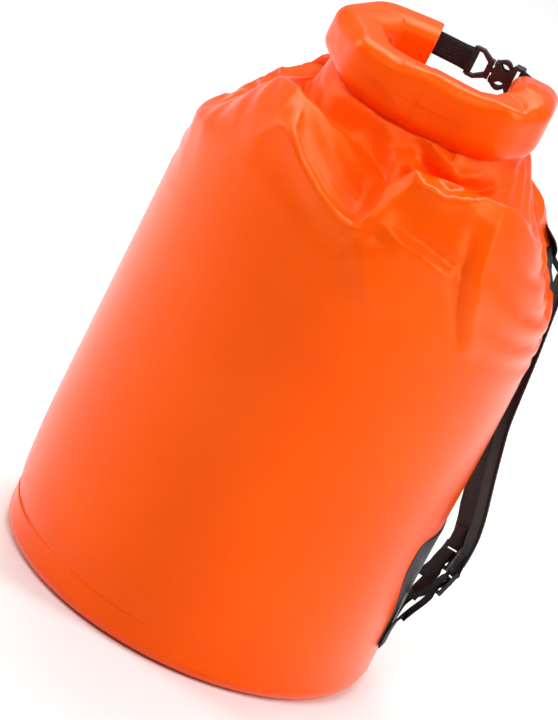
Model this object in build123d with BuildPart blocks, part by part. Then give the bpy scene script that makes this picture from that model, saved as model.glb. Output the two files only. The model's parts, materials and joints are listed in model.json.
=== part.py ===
from build123d import *
import os
from math import cos, radians, sin

# Roll-top dry bag, about 40 litres, worn on the back. Origin: centre of the base on the
# standing plane. +Z runs up the bag, -Y is its front, and +X is the side with the straps.

# Bag
BAG_RADIUS = 160
FABRIC = 1.0
BASE_CORNER = 14
BASE_HEIGHT = 16
SHOULDER_Z = 388
NECK_TOP_Z = 470.5
LAP = 0.3

# Rolled collar: a horseshoe seen from above, open at the back
ROLL_THICK = 40
ROLL_HEIGHT = 53
ROLL_WALL = 7
ROLL_Z = NECK_TOP_Z + LAP + ROLL_HEIGHT / 2
ROLL_BEND = 51
ROLL_RIGHT_BEND = 38
ROLL_FRONT_Y = -45
ROLL_LEFT_X = -28
ROLL_RIGHT_X = 32
ROLL_LEFT_END_X = -18
ROLL_RIGHT_END_Y = 44
STIFFENER_HEIGHT = 32
STIFFENER_THICK = 1.5
STIFFENER_SPACING = 7

# Closure: 20 mm webbing and a side-release buckle
WEBBING = 20
WEBBING_THICK = 1.6
BUCKLE_Y = ROLL_FRONT_Y + 2 * ROLL_BEND
BUCKLE_BAR = 1.8
LOOP_GAP = 0.4
TAB_TAIL = 12
MALE_BAR_X = 13
MATING_X = 31
PRONG_TIP_X = 47
END_BLOCK_X = 48
FEMALE_BAR_X = 56
BUCKLE_HALF_HEIGHT = 13
MALE_THICK = 5
PRONG_THICK = 4.2
PLATE_THICK = 1.7
CAVITY_HALF = 2.6

# Shoulder straps, held at the ends of a patch low on the +X side and one high behind it
PATCH_THICK = 1.2
LOWER_ANCHOR_Z = 71
UPPER_ANCHOR_Z = 380
LOWER_ANCHOR_AZIMUTH = 8.2
UPPER_PATCH_AZIMUTH = 35
UPPER_ANCHOR_AZIMUTH = 9
BULGE_AZIMUTH = 22
STRAP_WIDTH = 38
STRAP_THICK = 3
LOCK_WIDTH = 27
LOCK_LENGTH = 22
LOCK_THICK = 3
SIDES = {"left": -1, "right": 1}


def save(built, name):
    built.part.label = name
    export_step(built.part, f"parts/{name}.step")


def around(radius, azimuth, z):
    """A point at this radius and azimuth, which is 0 at +X and grows towards +Y."""
    return Vector(radius * cos(radians(azimuth)), radius * sin(radians(azimuth)), z)


def ribbon(points, thick):
    """A face that follows a smooth line through these points."""
    with BuildSketch(mode=Mode.PRIVATE) as face:
        with BuildLine():
            low = Spline(*[(x, y - thick / 2) for x, y in points])
            high = Spline(*[(x, y + thick / 2) for x, y in points])
            Line(low @ 0, high @ 0)
            Line(low @ 1, high @ 1)
        make_face()
    return face.sketch


os.makedirs("parts", exist_ok=True)

# ---- bag ----------------------------------------------------------------------------

# Round bottom, its edge turned up inside the tube's lower end
with BuildPart() as base_disc:
    with BuildSketch(Plane.XZ):
        with BuildLine():
            outer = BAG_RADIUS - FABRIC - LAP
            bottom = Line((0, 0), (outer - BASE_CORNER, 0))
            RadiusArc(bottom @ 1, (outer, BASE_CORNER), -BASE_CORNER)
            Line((outer, BASE_CORNER), (outer, BASE_HEIGHT + BASE_CORNER))
            Line((outer, BASE_HEIGHT + BASE_CORNER), (outer - FABRIC, BASE_HEIGHT + BASE_CORNER))
            Line((outer - FABRIC, BASE_HEIGHT + BASE_CORNER), (outer - FABRIC, BASE_CORNER))
            RadiusArc((outer - FABRIC, BASE_CORNER), (outer - BASE_CORNER, FABRIC),
                      BASE_CORNER - FABRIC)
            Line((outer - BASE_CORNER, FABRIC), (0, FABRIC))
            Line((0, FABRIC), (0, 0))
        make_face()
    revolve(axis=Axis.Z)
save(base_disc, "base_disc")

# The tube of tarpaulin: straight wall, then the shoulder drawn in to the flattened neck
NECK_SECTIONS = [
    (SHOULDER_Z, BAG_RADIUS, BAG_RADIUS, 0),
    (SHOULDER_Z + 50, BAG_RADIUS - 18, BAG_RADIUS - 20, -2),
    (NECK_TOP_Z, 112, 104, -4),
]
with BuildPart() as body_tube:
    with BuildSketch(Plane.XY.offset(BASE_HEIGHT)):
        Circle(BAG_RADIUS)
    extrude(amount=SHOULDER_Z - BASE_HEIGHT)
    for z, half_x, half_y, shift in NECK_SECTIONS:
        with BuildSketch(Plane.XY.offset(z)):
            with Locations((shift, 0)):
                Ellipse(half_x, half_y)
    loft()
    with BuildSketch(Plane.XY.offset(BASE_HEIGHT)):
        Circle(BAG_RADIUS - FABRIC)
    extrude(amount=SHOULDER_Z - BASE_HEIGHT, mode=Mode.SUBTRACT)
    for z, half_x, half_y, shift in NECK_SECTIONS:
        cap = FABRIC if z == NECK_TOP_Z else 0
        with BuildSketch(Plane.XY.offset(z - cap)):
            with Locations((shift, 0)):
                Ellipse(half_x - FABRIC, half_y - FABRIC)
    loft(mode=Mode.SUBTRACT)
save(body_tube, "body_tube")

# ---- rolled collar --------------------------------------------------------------------

with BuildLine(Plane.XY.offset(ROLL_Z)) as roll_line:
    Line((ROLL_LEFT_END_X, BUCKLE_Y), (ROLL_LEFT_X, BUCKLE_Y))
    CenterArc((ROLL_LEFT_X, ROLL_FRONT_Y + ROLL_BEND), ROLL_BEND, 90, 180)
    Line((ROLL_LEFT_X, ROLL_FRONT_Y), (ROLL_RIGHT_X, ROLL_FRONT_Y))
    CenterArc((ROLL_RIGHT_X, ROLL_FRONT_Y + ROLL_RIGHT_BEND), ROLL_RIGHT_BEND, 270, 90)
    Line((ROLL_RIGHT_X + ROLL_RIGHT_BEND, ROLL_FRONT_Y + ROLL_RIGHT_BEND),
         (ROLL_RIGHT_X + ROLL_RIGHT_BEND, ROLL_RIGHT_END_Y))

roll_start = Plane(
    origin=(ROLL_LEFT_END_X, BUCKLE_Y, ROLL_Z), x_dir=(0, 1, 0), z_dir=(-1, 0, 0)
)
with BuildPart() as rolled_collar:
    with BuildSketch(roll_start):
        RectangleRounded(ROLL_THICK, ROLL_HEIGHT, ROLL_THICK / 2 - 2)
        RectangleRounded(ROLL_THICK - 2 * ROLL_WALL, ROLL_HEIGHT - 2 * ROLL_WALL,
                         ROLL_THICK / 2 - ROLL_WALL - 2, mode=Mode.SUBTRACT)
    sweep(path=roll_line.line)
save(rolled_collar, "rolled_collar")

# The two stiff lips of the mouth, wound up in the middle of the roll
with BuildLine(Plane.XY.offset(ROLL_Z)) as lip_line:
    CenterArc((ROLL_LEFT_X, ROLL_FRONT_Y + ROLL_BEND), ROLL_BEND, 90, 180)
    Line((ROLL_LEFT_X, ROLL_FRONT_Y), (ROLL_RIGHT_X, ROLL_FRONT_Y))
    CenterArc((ROLL_RIGHT_X, ROLL_FRONT_Y + ROLL_RIGHT_BEND), ROLL_RIGHT_BEND, 270, 90)

lip_start = Plane(
    origin=(ROLL_LEFT_X, BUCKLE_Y, ROLL_Z), x_dir=(0, 1, 0), z_dir=(-1, 0, 0)
)
for name, side in {"mouth_stiffener_outer": 1, "mouth_stiffener_inner": -1}.items():
    with BuildPart() as lip:
        with BuildSketch(lip_start):
            with Locations((side * STIFFENER_SPACING / 2, 0)):
                Rectangle(STIFFENER_THICK, STIFFENER_HEIGHT)
        sweep(path=lip_line.line)
    save(lip, name)

# ---- closure --------------------------------------------------------------------------

buckle_plane = Plane.XY.offset(ROLL_Z)
LOOP_INNER = BUCKLE_BAR + LOOP_GAP
LOOP_OUTER = LOOP_INNER + WEBBING_THICK
LOOP_BITE = 0.6

# Webbing loop from inside the roll's left end round the ladder bar
with BuildPart() as closure_tab_male:
    with BuildSketch(buckle_plane):
        with BuildLine():
            Polyline(
                (ROLL_LEFT_END_X - TAB_TAIL, BUCKLE_Y - WEBBING_THICK),
                (MALE_BAR_X - LOOP_OUTER + LOOP_BITE, BUCKLE_Y - WEBBING_THICK),
                (MALE_BAR_X - LOOP_OUTER + LOOP_BITE, BUCKLE_Y + WEBBING_THICK),
                (ROLL_LEFT_END_X - TAB_TAIL, BUCKLE_Y + WEBBING_THICK),
                close=True,
            )
        make_face()
        with Locations((MALE_BAR_X, BUCKLE_Y)):
            Circle(LOOP_OUTER)
            Circle(LOOP_INNER, mode=Mode.SUBTRACT)
    extrude(amount=WEBBING / 2, both=True)
save(closure_tab_male, "closure_tab_male")

# Webbing loop from inside the roll's right end, round the corner to the female bar
TAB_X = ROLL_RIGHT_X + ROLL_RIGHT_BEND
TAB_BEND = TAB_X - FEMALE_BAR_X
TAB_CENTRE = (FEMALE_BAR_X, BUCKLE_Y - TAB_BEND)
TAB_TURN = 76
with BuildPart() as closure_tab_female:
    with BuildSketch(buckle_plane):
        with BuildLine():
            tail = Line((TAB_X - WEBBING_THICK, ROLL_RIGHT_END_Y - TAB_TAIL),
                        (TAB_X + WEBBING_THICK, ROLL_RIGHT_END_Y - TAB_TAIL))
            Line(tail @ 1, (TAB_X + WEBBING_THICK, BUCKLE_Y - TAB_BEND))
            outer = CenterArc(TAB_CENTRE, TAB_BEND + WEBBING_THICK, 0, TAB_TURN)
            inner = CenterArc(TAB_CENTRE, TAB_BEND - WEBBING_THICK, 0, TAB_TURN)
            Line(outer @ 1, inner @ 1)
            Line(inner @ 0, tail @ 0)
        make_face()
        with Locations((FEMALE_BAR_X, BUCKLE_Y)):
            Circle(LOOP_OUTER)
            Circle(LOOP_INNER, mode=Mode.SUBTRACT)
    extrude(amount=WEBBING / 2, both=True)
save(closure_tab_female, "closure_tab_female")

# The buckle is drawn flat: X along the webbing, Y of the sketch up the bag
flat = Plane(origin=(0, BUCKLE_Y, ROLL_Z), x_dir=(1, 0, 0), z_dir=(0, -1, 0))
WAIST = 8.5
MALE_SLOT = 10.3
SHOULDER_X = MALE_BAR_X + 7
TONGUE_LENGTH = 16
TONGUE_WIDTH = 3.6
with BuildPart() as buckle_male:
    with BuildSketch(flat):
        with BuildLine():
            Polyline(
                (MALE_BAR_X, -BUCKLE_HALF_HEIGHT), (SHOULDER_X, -BUCKLE_HALF_HEIGHT),
                (MATING_X - 3, -WAIST), (MATING_X, -WAIST), (MATING_X, WAIST),
                (MATING_X - 3, WAIST), (SHOULDER_X, BUCKLE_HALF_HEIGHT),
                (MALE_BAR_X, BUCKLE_HALF_HEIGHT), close=True,
            )
        make_face()
        with BuildLine():
            Polyline(
                (MALE_BAR_X - 2, -MALE_SLOT), (SHOULDER_X - 1, -MALE_SLOT), (MATING_X - 5, -5),
                (MATING_X - 5, 5), (SHOULDER_X - 1, MALE_SLOT), (MALE_BAR_X - 2, MALE_SLOT),
                close=True,
            )
        make_face(mode=Mode.SUBTRACT)
    extrude(amount=MALE_THICK / 2, both=True)
    fillet(buckle_male.edges().filter_by(Axis.Y), 0.8)
    # round ladder bar and the tongue that guides the halves together
    with BuildSketch(Plane(origin=(MALE_BAR_X, BUCKLE_Y, ROLL_Z))):
        Circle(BUCKLE_BAR)
    extrude(amount=BUCKLE_HALF_HEIGHT - 0.5, both=True)
    with BuildSketch(flat):
        with Locations((MATING_X + TONGUE_LENGTH / 2 - 1, 0)):
            Rectangle(TONGUE_LENGTH, TONGUE_WIDTH)
    extrude(amount=WEBBING_THICK, both=True)
save(buckle_male, "buckle_male_frame")

# Two springy arms, bowed outwards, with a shouldered head near the tip
PRONG_ROOT_Z = 6.4
for name, side in {"buckle_prong_upper": 1, "buckle_prong_lower": -1}.items():
    with BuildPart() as prong:
        with BuildSketch(flat):
            with BuildLine():
                start = (MATING_X + LAP, side * (PRONG_ROOT_Z - 1.6))
                outside = Spline((MATING_X + LAP, side * (PRONG_ROOT_Z + 1.6)),
                                 (MATING_X + 5, side * 11.6), (MATING_X + 9.5, side * 13.2),
                                 (PRONG_TIP_X - 2, side * 10.4), (PRONG_TIP_X, side * 7))
                inside = Spline(start, (MATING_X + 5, side * 8.6), (MATING_X + 9, side * 9.6),
                                (PRONG_TIP_X - 3, side * 7.4), (PRONG_TIP_X - 1, side * 5.4))
                Line(outside @ 1, inside @ 1)
                Line(outside @ 0, start)
            make_face()
        extrude(amount=PRONG_THICK / 2, both=True)
    save(prong, name)

# Female half: two plates with a mouth between them, joined at the end that holds the bar
with BuildPart() as buckle_female:
    for side in (-1, 1):
        plate = Plane(origin=(0, BUCKLE_Y + side * CAVITY_HALF, ROLL_Z), x_dir=(1, 0, 0),
                      z_dir=(0, side, 0))
        with BuildSketch(plate):
            with BuildLine():
                Polyline(
                    (MATING_X + 1, -9), (MATING_X + 4, -9), (MATING_X + 9, -4.6),
                    (END_BLOCK_X - 5, -4.6), (END_BLOCK_X, -BUCKLE_HALF_HEIGHT + 1),
                    (END_BLOCK_X, BUCKLE_HALF_HEIGHT - 1), (END_BLOCK_X - 5, 4.6),
                    (MATING_X + 9, 4.6), (MATING_X + 4, 9), (MATING_X + 1, 9), close=True,
                )
            make_face()
        extrude(amount=PLATE_THICK)
    with BuildSketch(flat):
        with Locations(((END_BLOCK_X + FEMALE_BAR_X) / 2, 0)):
            Rectangle(FEMALE_BAR_X - END_BLOCK_X, 2 * BUCKLE_HALF_HEIGHT)
        with Locations((FEMALE_BAR_X - 2, 0)):
            Rectangle(8, 20.8, mode=Mode.SUBTRACT)
    extrude(amount=CAVITY_HALF + PLATE_THICK, both=True)
    fillet(buckle_female.edges().filter_by(Axis.Y).group_by(Axis.X)[-1], 1.2)
    with BuildSketch(Plane(origin=(FEMALE_BAR_X, BUCKLE_Y, ROLL_Z))):
        Circle(BUCKLE_BAR)
    extrude(amount=BUCKLE_HALF_HEIGHT - 2.2, both=True)
save(buckle_female, "buckle_female_housing")

# ---- patches on the wall ----------------------------------------------------------------

PATCH_CORNER = 12
LOWER_PATCH = [(-58, 156), (58, 156), (58, 124), (34, 82), (29, 43), (-29, 43), (-34, 82), (-58, 124)]
UPPER_PATCH = [(-52, 386), (52, 386), (52, 344), (-52, 344)]


def patch(outline, azimuth, name):
    """A thin piece that hugs the wall, cut to an outline seen along this azimuth."""
    outward = around(1, azimuth, 0)
    view = Plane(origin=(0, 0, 0), x_dir=around(1, azimuth + 90, 0), z_dir=outward)
    with BuildPart() as built:
        with BuildSketch(view):
            with BuildLine():
                FilletPolyline(*outline, radius=PATCH_CORNER, close=True)
            make_face()
        extrude(amount=2 * BAG_RADIUS)
        with BuildSketch(Plane.XY):
            Circle(BAG_RADIUS + PATCH_THICK)
            Circle(BAG_RADIUS, mode=Mode.SUBTRACT)
        extrude(amount=NECK_TOP_Z, mode=Mode.INTERSECT)
    save(built, name)


patch(LOWER_PATCH, 0, "lower_patch")
patch(UPPER_PATCH, UPPER_PATCH_AZIMUTH, "upper_patch")

# ---- shoulder straps ----------------------------------------------------------------------

# The centre line of a strap, as distance along the chord between its anchors and height
# above that chord, from the lower end to the upper one
WEBBING_LINE = [(14, 9), (22, 14.5), (31, 19)]
STRAP_LINE = [(62, 29.8), (75, 31), (100, 29.5), (140, 21.5), (180, 14.5), (240, 12), (306, 7)]
NARROW_LOOP = [(57.2, 28.8), (60, 29.4), (66, 30.3)]
LOCK_BAR_AT = (54, 28)
LOCK_SLOPE = 20
LOCK_SLOT = 21
LOCK_LIP = 3.4

# Webbing at each anchor, as height from the anchor point and radius from the bag's axis
LOWER_ANCHOR_LINE = [(-24, 162.4), (-12, 162.4), (0, 163.6), (9, 167.5)]
UPPER_ANCHOR_LINE = [(-14, 165.5), (-8, 163.6), (4, 163.3), (22, 163.3)]
UPPER_ANCHOR_WIDTH = 24

for side_name, side in SIDES.items():
    low_azimuth = side * LOWER_ANCHOR_AZIMUTH
    high_azimuth = UPPER_PATCH_AZIMUTH + side * UPPER_ANCHOR_AZIMUTH
    lower = around(BAG_RADIUS + 3, low_azimuth, LOWER_ANCHOR_Z)
    upper = around(BAG_RADIUS + 4, high_azimuth, UPPER_ANCHOR_Z)
    chord = (upper - lower).normalized()
    bulge = around(1, BULGE_AZIMUTH + side * LOWER_ANCHOR_AZIMUTH, 0)
    across = chord.cross(bulge).normalized()
    strap_plane = Plane(origin=lower, x_dir=chord, z_dir=across)

    # short webbing sewn to the lower patch and lifting off it
    with BuildPart() as lower_anchor:
        with BuildSketch(Plane(origin=around(0, 0, LOWER_ANCHOR_Z), x_dir=(0, 0, 1),
                               z_dir=around(1, low_azimuth + 90, 0))):
            add(ribbon(LOWER_ANCHOR_LINE, WEBBING_THICK))
        extrude(amount=WEBBING / 2, both=True)
    save(lower_anchor, f"lower_anchor_{side_name}")

    with BuildPart() as upper_anchor:
        with BuildSketch(Plane(origin=around(0, 0, UPPER_ANCHOR_Z), x_dir=(0, 0, 1),
                               z_dir=around(1, high_azimuth + 90, 0))):
            add(ribbon(UPPER_ANCHOR_LINE, WEBBING_THICK))
        extrude(amount=UPPER_ANCHOR_WIDTH / 2, both=True)
    save(upper_anchor, f"upper_anchor_{side_name}")

    with BuildPart() as lower_webbing:
        with BuildSketch(strap_plane):
            add(ribbon(WEBBING_LINE, WEBBING_THICK))
        extrude(amount=WEBBING / 2, both=True)
    save(lower_webbing, f"lower_webbing_{side_name}")

    # wide strap, ending below in a narrow loop round the ladder lock's upper bar
    with BuildPart() as strap:
        with BuildSketch(strap_plane):
            add(ribbon(STRAP_LINE, STRAP_THICK))
        extrude(amount=STRAP_WIDTH / 2, both=True)
        with BuildSketch(strap_plane):
            add(ribbon(NARROW_LOOP, WEBBING_THICK))
            with Locations(LOCK_BAR_AT):
                Circle(LOOP_OUTER)
                Circle(LOOP_INNER, mode=Mode.SUBTRACT)
        extrude(amount=WEBBING / 2, both=True)
    save(strap, f"shoulder_strap_{side_name}")

    # ladder lock: a frame with a round upper bar, a middle bar and a lipped lower bar
    bar = strap_plane.from_local_coords(Vector(*LOCK_BAR_AT, 0))
    down = chord * -cos(radians(LOCK_SLOPE)) - strap_plane.y_dir * sin(radians(LOCK_SLOPE))
    lock_plane = Plane(origin=bar, x_dir=down, z_dir=across.cross(down))
    with BuildPart() as ladder_lock:
        with BuildSketch(lock_plane):
            with Locations((LOCK_LENGTH / 2, 0)):
                RectangleRounded(LOCK_LENGTH, LOCK_WIDTH, 2)
            with Locations((2.6, 0), (14, 0)):
                Rectangle(9.2, LOCK_SLOT, mode=Mode.SUBTRACT)
        extrude(amount=LOCK_THICK / 2, both=True)
        with BuildSketch(Plane(origin=bar, z_dir=across)):
            Circle(BUCKLE_BAR)
        extrude(amount=LOCK_WIDTH / 2, both=True)
        with BuildSketch(lock_plane.offset(LOCK_THICK / 2)):
            with Locations((LOCK_LENGTH - LOCK_LIP / 2, 0)):
                Rectangle(LOCK_LIP, LOCK_SLOT)
        extrude(amount=WEBBING_THICK)
    save(ladder_lock, f"ladder_lock_{side_name}")
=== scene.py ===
import json
import math

import bpy
import numpy as np
from mathutils import Matrix, Vector
from mathutils.bvhtree import BVHTree


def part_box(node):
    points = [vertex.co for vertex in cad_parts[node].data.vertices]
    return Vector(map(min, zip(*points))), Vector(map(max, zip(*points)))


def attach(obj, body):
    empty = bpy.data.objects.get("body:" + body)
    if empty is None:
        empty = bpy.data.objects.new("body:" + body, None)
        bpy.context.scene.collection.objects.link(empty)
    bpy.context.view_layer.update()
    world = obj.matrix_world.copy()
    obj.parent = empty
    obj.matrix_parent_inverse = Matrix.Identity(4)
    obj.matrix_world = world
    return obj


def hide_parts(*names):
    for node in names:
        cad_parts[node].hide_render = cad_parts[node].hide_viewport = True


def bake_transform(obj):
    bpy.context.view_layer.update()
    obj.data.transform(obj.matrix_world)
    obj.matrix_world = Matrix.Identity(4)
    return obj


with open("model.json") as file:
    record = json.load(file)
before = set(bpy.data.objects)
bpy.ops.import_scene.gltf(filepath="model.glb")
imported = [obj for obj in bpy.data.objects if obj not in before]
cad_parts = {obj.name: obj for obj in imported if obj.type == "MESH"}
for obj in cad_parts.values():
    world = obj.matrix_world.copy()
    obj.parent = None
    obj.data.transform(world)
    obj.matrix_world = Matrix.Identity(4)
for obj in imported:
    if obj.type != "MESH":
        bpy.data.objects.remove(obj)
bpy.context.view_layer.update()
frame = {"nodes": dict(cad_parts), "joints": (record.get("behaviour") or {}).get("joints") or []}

# Lengths are in metres unless a comment says millimetres. Azimuths are in degrees.

# ---- sizes taken from the frame ----

BODY_LOW, BODY_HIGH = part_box("body_tube")
BASE_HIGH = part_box("base_disc")[1]
ROLL_LOW, ROLL_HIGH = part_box("rolled_collar")
MALE_LOW, MALE_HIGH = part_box("buckle_male_frame")
FEMALE_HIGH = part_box("buckle_female_housing")[1]

RADIUS = BODY_HIGH.x
# the width of the narrow webbing
WEBBING = 0.020

# the roll's thickness, the bends of its centre line, and where its two ends and its seam are
ROLL_Z = (ROLL_LOW.z + ROLL_HIGH.z) / 2
ROLL_THICK = 0.040
ROLL_BEND = (MALE_LOW.y + MALE_HIGH.y - 2 * ROLL_LOW.y - ROLL_THICK) / 4
ROLL_FRONT_Y = ROLL_LOW.y + ROLL_THICK / 2
ROLL_LEFT_X = ROLL_LOW.x + ROLL_THICK / 2 + ROLL_BEND
ROLL_RIGHT_BEND = 0.038
ROLL_RIGHT_X = ROLL_HIGH.x - ROLL_THICK / 2 - ROLL_RIGHT_BEND
ROLL_LEFT_END_X = -0.018
ROLL_RIGHT_END_Y = 0.044
BUCKLE_Y = ROLL_FRONT_Y + 2 * ROLL_BEND
SEAM_X = -0.011
SCENE = bpy.context.scene


# ---- materials ----


class Nodes:
    """A Principled material built node by node."""

    def __init__(self, name, roughness=0.5):
        self.material = bpy.data.materials.new(name)
        self.material.use_nodes = True
        self.tree = self.material.node_tree
        self.shader = self.tree.nodes["Principled BSDF"]
        self.shader.inputs["Roughness"].default_value = roughness
        self.place = self.add("ShaderNodeTexCoord")

    def add(self, kind, inputs=None, **settings):
        """A node; its inputs are values or the sockets to link to them."""
        node = self.tree.nodes.new(kind)
        for key, value in settings.items():
            setattr(node, key, value)
        for key, value in (inputs or {}).items():
            if isinstance(value, bpy.types.NodeSocket):
                self.tree.links.new(value, node.inputs[key])
            else:
                node.inputs[key].default_value = value
        return node

    def math(self, operation, a, b=0.0, c=0.0):
        return self.add("ShaderNodeMath", {0: a, 1: b, 2: c}, operation=operation).outputs[0]

    def noise(self, scale, detail=3.0, rough=0.5):
        inputs = {"Vector": self.place.outputs["Object"], "Scale": scale,
                  "Detail": detail, "Roughness": rough}
        return self.add("ShaderNodeTexNoise", inputs).outputs["Fac"]

    def ramp(self, factor, stops):
        node = self.add("ShaderNodeValToRGB", {"Fac": factor})
        elements = node.color_ramp.elements
        while len(elements) < len(stops):
            elements.new(0.5)
        for element, (position, colour) in zip(elements, stops):
            element.position = position
            element.color = (*colour, 1)
        return node.outputs["Color"]

    def to(self, socket, value):
        self.tree.links.new(value, self.shader.inputs[socket])

    def bump(self, height, distance, strength=1.0, onto=None):
        inputs = {"Height": height, "Distance": distance, "Strength": strength}
        if onto is not None:
            inputs["Normal"] = onto
        return self.add("ShaderNodeBump", inputs).outputs["Normal"]


def tarpaulin():
    """Orange PVC-coated fabric: the scrim's fine grid shows through, with soft mottling and scuffs."""
    m = Nodes("tarpaulin_orange", 0.36)
    mottling = m.noise(9.0, 4.0)
    colour = m.ramp(mottling, [(0.30, (0.93, 0.078, 0.0005)), (0.55, (0.97, 0.088, 0.0005)),
                               (0.75, (0.98, 0.098, 0.001))])
    m.to("Base Color", colour)
    scuff = m.noise(60.0, 6.0, 0.65)
    m.to("Roughness", m.math("MULTIPLY_ADD", scuff, 0.14, 0.15))
    grid = m.add("ShaderNodeSeparateXYZ", {"Vector": m.place.outputs["UV"]})
    scrim_pitch = 0.0011
    threads = [m.math("SINE", m.math("MULTIPLY", grid.outputs[k], 2 * math.pi / scrim_pitch)) for k in (0, 1)]
    scrim = m.math("MULTIPLY", threads[0], threads[1])
    grain = m.noise(1500.0, 2.0)
    normal = m.bump(grain, 0.00005, 0.5)
    normal = m.bump(scrim, 0.00006, 0.6, normal)
    normal = m.bump(m.noise(45.0, 3.0), 0.0006, 0.35, normal)
    m.to("Normal", normal)
    m.shader.inputs["Specular IOR Level"].default_value = 0.48
    m.shader.inputs["Specular Tint"].default_value = (1.0, 0.5, 0.15, 1.0)
    return m.material


def webbing():
    """Black polypropylene webbing: herringbone ribs across the width, in UV metres."""
    m = Nodes("webbing_black", 0.55)
    column_pitch = 0.0032
    rib_pitch = 0.0016
    uv = m.add("ShaderNodeSeparateXYZ", {"Vector": m.place.outputs["UV"]})
    across = m.math("MULTIPLY", uv.outputs[0], 1 / column_pitch)
    slant = m.math("PINGPONG", across, 0.5)
    along = m.math("MULTIPLY", uv.outputs[1], 1 / rib_pitch)
    slanted = m.math("ADD", along, m.math("MULTIPLY", slant, 1.6))
    rib = m.math("SINE", m.math("MULTIPLY", slanted, 2 * math.pi))
    column = m.math("SINE", m.math("MULTIPLY", across, 4 * math.pi))
    height = m.math("MULTIPLY_ADD", column, 0.35, rib)
    shade = m.math("MULTIPLY_ADD", height, 0.16, 0.5)
    m.to("Base Color", m.ramp(m.math("MULTIPLY_ADD", m.noise(400.0), 0.5, m.math("SUBTRACT", shade, 0.25)),
                              [(0.2, (0.004, 0.004, 0.005)), (0.6, (0.016, 0.016, 0.018)),
                               (0.9, (0.034, 0.034, 0.037))]))
    m.to("Roughness", m.math("MULTIPLY_ADD", m.noise(300.0), 0.25, 0.42))
    m.to("Normal", m.bump(height, 0.00025, 0.8))
    m.shader.inputs["Specular IOR Level"].default_value = 0.25
    return m.material


def patch_fabric():
    """Black PVC-coated patch with a fine pebbled face."""
    m = Nodes("patch_black", 0.42)
    m.to("Base Color", m.ramp(m.noise(30.0, 4.0),
                              [(0.3, (0.008, 0.008, 0.010)), (0.7, (0.022, 0.023, 0.026))]))
    cells = m.add("ShaderNodeTexVoronoi", {"Vector": m.place.outputs["Object"], "Scale": 900.0})
    m.to("Roughness", m.math("MULTIPLY_ADD", m.noise(90.0, 4.0), 0.3, 0.28))
    m.to("Normal", m.bump(cells.outputs["Distance"], 0.0002, 0.5))
    return m.material


def moulded_plastic():
    """Black acetal with the fine spark grain of its mould."""
    m = Nodes("buckle_black", 0.38)
    m.to("Base Color", m.ramp(m.noise(120.0, 5.0),
                              [(0.35, (0.010, 0.010, 0.011)), (0.7, (0.022, 0.022, 0.024))]))
    m.to("Roughness", m.math("MULTIPLY_ADD", m.noise(500.0, 4.0), 0.3, 0.26))
    m.to("Normal", m.bump(m.noise(2500.0, 2.0), 0.00006, 0.5))
    return m.material


def thread():
    """Black bonded nylon stitching."""
    m = Nodes("thread_black", 0.6)
    m.to("Base Color", m.ramp(m.noise(800.0), [(0.3, (0.02, 0.02, 0.022)), (0.7, (0.06, 0.06, 0.065))]))
    m.to("Normal", m.bump(m.noise(3000.0), 0.0001, 0.6))
    return m.material


MATERIALS = {"tarpaulin": tarpaulin(), "webbing": webbing(), "patch": patch_fabric(),
             "buckle_plastic": moulded_plastic(), "stiffener": moulded_plastic(), "thread": thread()}


# ---- mesh helpers ----


def put(name, data):
    """An object with this data, in the scene."""
    thing = bpy.data.objects.new(name, data)
    SCENE.collection.objects.link(thing)
    return thing


def make(name, points, faces, body, slot, uvs=None, replaces=(), material=None):
    """A mesh piece that rides on a body. uvs has one pair per vertex."""
    mesh = bpy.data.meshes.new(name)
    mesh.from_pydata([tuple(map(float, p)) for p in points], [], [tuple(map(int, f)) for f in faces])
    mesh.validate()
    if uvs is not None:
        layer = mesh.uv_layers.new(name="UVMap")
        index = np.zeros(len(mesh.loops), np.int32)
        mesh.loops.foreach_get("vertex_index", index)
        layer.data.foreach_set("uv", np.asarray(uvs, np.float32)[index].ravel())
    mesh.polygons.foreach_set("use_smooth", [True] * len(mesh.polygons))
    mesh.materials.append(MATERIALS[material or slot])
    piece = put(name, mesh)
    if body:
        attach(piece, body)
    if replaces:
        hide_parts(*replaces)
    return piece


def grid_faces(rows, columns, closed=False):
    """Quads over a grid of vertices. closed joins the last column to the first."""
    index = np.arange(rows * columns).reshape(rows, columns)
    faces = []
    for i in range(rows - 1):
        for j in range(columns if closed else columns - 1):
            k = (j + 1) % columns
            faces.append((index[i, j], index[i, k], index[i + 1, k], index[i + 1, j]))
    return faces


def closed_tube(rows, columns):
    """Faces over a grid closed into a tube, with both its ends capped."""
    end = (rows - 1) * columns
    caps = [tuple(reversed(range(columns))), tuple(end + c for c in range(columns))]
    return grid_faces(rows, columns, closed=True) + caps


def lengths(line):
    """Distance along a line to each of its points."""
    return np.concatenate([[0], np.cumsum(np.linalg.norm(np.diff(line, axis=0), axis=1))])


def resample(line, where):
    """The points of a line at these distances along it."""
    along = lengths(line)
    return np.stack([np.interp(where, along, line[:, k]) for k in range(line.shape[1])], 1)


def smooth_line(knots, count, reach):
    """A line through knots with its corners rounded over about this reach, as count points."""
    knots = np.asarray(knots, float)
    samples = 400
    total = lengths(knots)[-1]
    fine = resample(knots, np.linspace(0, total, samples))
    half = max(1, int(reach / total * samples))
    window = np.hanning(2 * half + 1)
    window /= window.sum()
    first = fine[0] + (fine[0] - fine[1]) * np.arange(half, 0, -1)[:, None]
    last = fine[-1] + (fine[-1] - fine[-2]) * np.arange(1, half + 1)[:, None]
    padded = np.concatenate([first, fine, last])
    rounded = np.stack([np.convolve(padded[:, k], window, "valid") for k in range(3)], 1)
    return resample(rounded, np.linspace(0, lengths(rounded)[-1], count))


# ---- the ring of the roll, seen from above ----


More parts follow.
